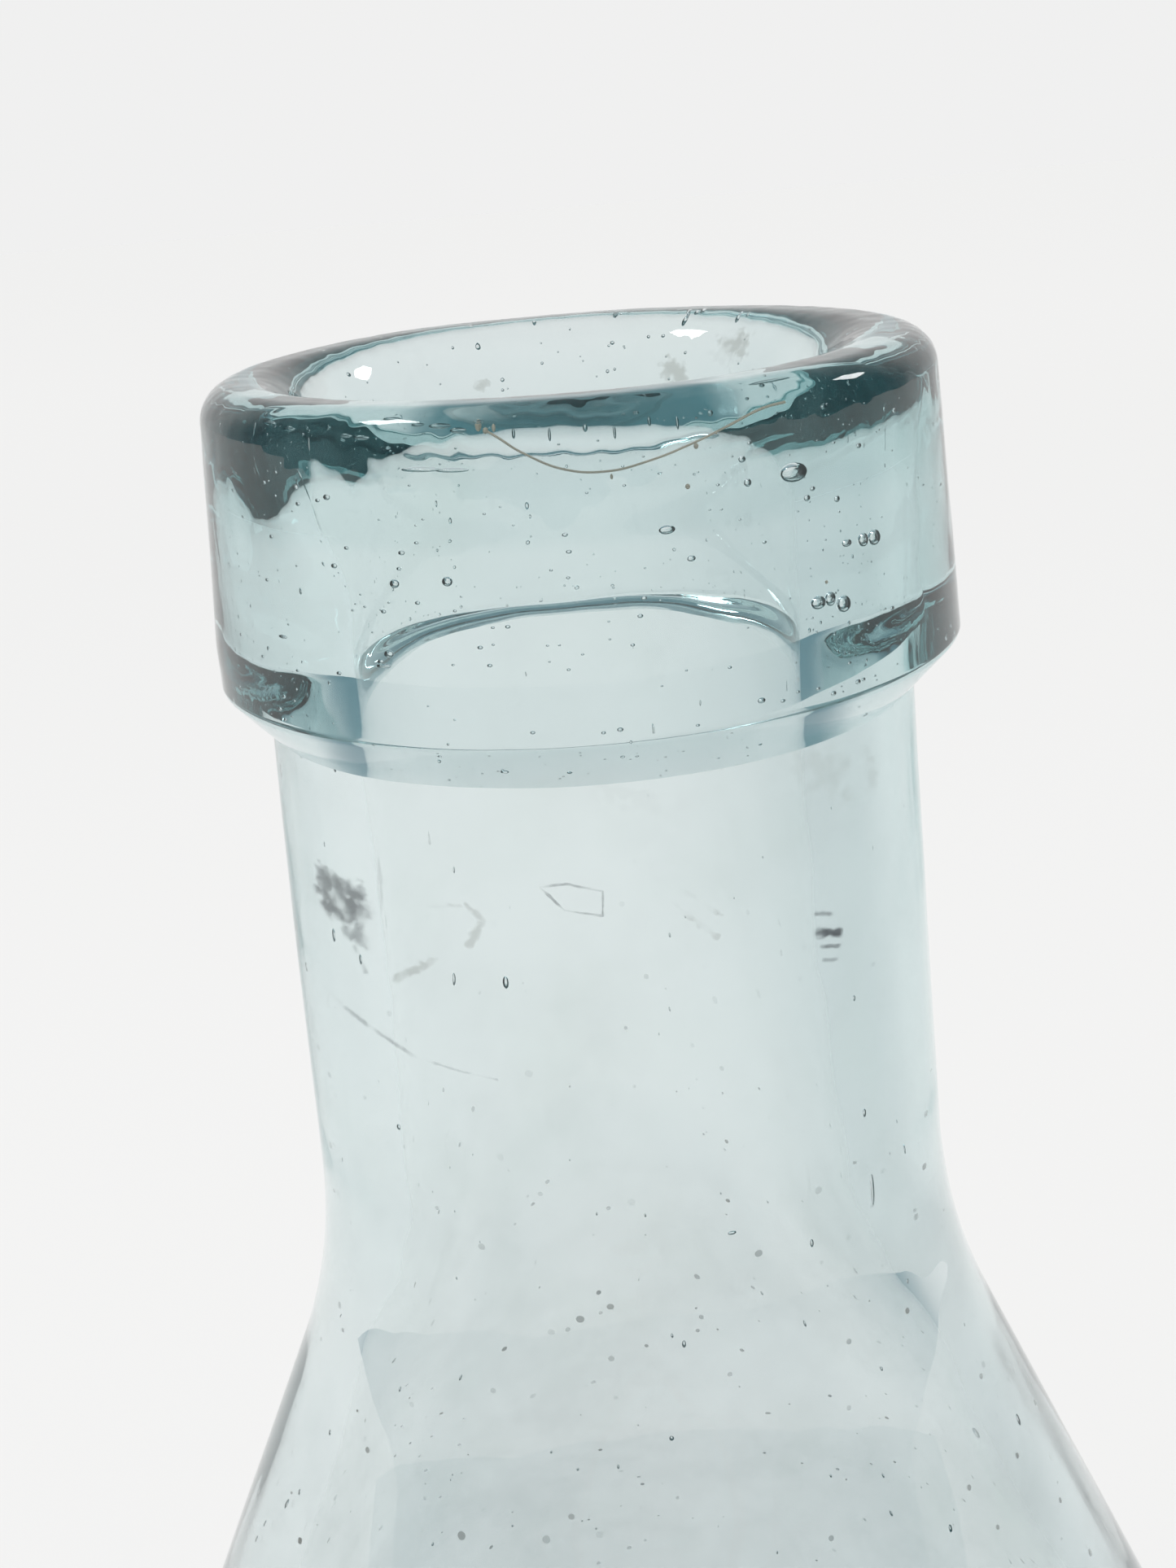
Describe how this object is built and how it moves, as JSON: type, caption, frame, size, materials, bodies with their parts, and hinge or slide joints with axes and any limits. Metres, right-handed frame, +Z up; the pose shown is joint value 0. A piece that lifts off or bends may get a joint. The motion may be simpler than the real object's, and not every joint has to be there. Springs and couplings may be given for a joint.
{
  "type": "antique glass bottle",
  "caption": "Hand-blown cork bottle of pale aqua glass, with a round body, long sloping shoulder, straight neck, thick applied collar and a push-up base with a pontil scar.",
  "frame": {"origin": "centre of the flat resting ring, on the surface that the bottle stands on", "axes": "+Z up the bottle's axis, towards the mouth; the shape is the same all round, so +X and +Y are free"},
  "size_m": [0.072, 0.072, 0.245],
  "materials": {
    "body_glass": "thin blown glass, pale aqua, with seed bubbles, faint wear and a light haze",
    "collar_glass": "thick applied glass, aqua, fire-polished, with bubbles and a tooled fold",
    "pontil_glass": "broken and worn glass, aqua"
  },
  "bodies": {
    "root": {"blown_body": "body_glass", "applied_collar": "collar_glass", "pontil_scar": "pontil_glass"}
  },
  "joints": []
}
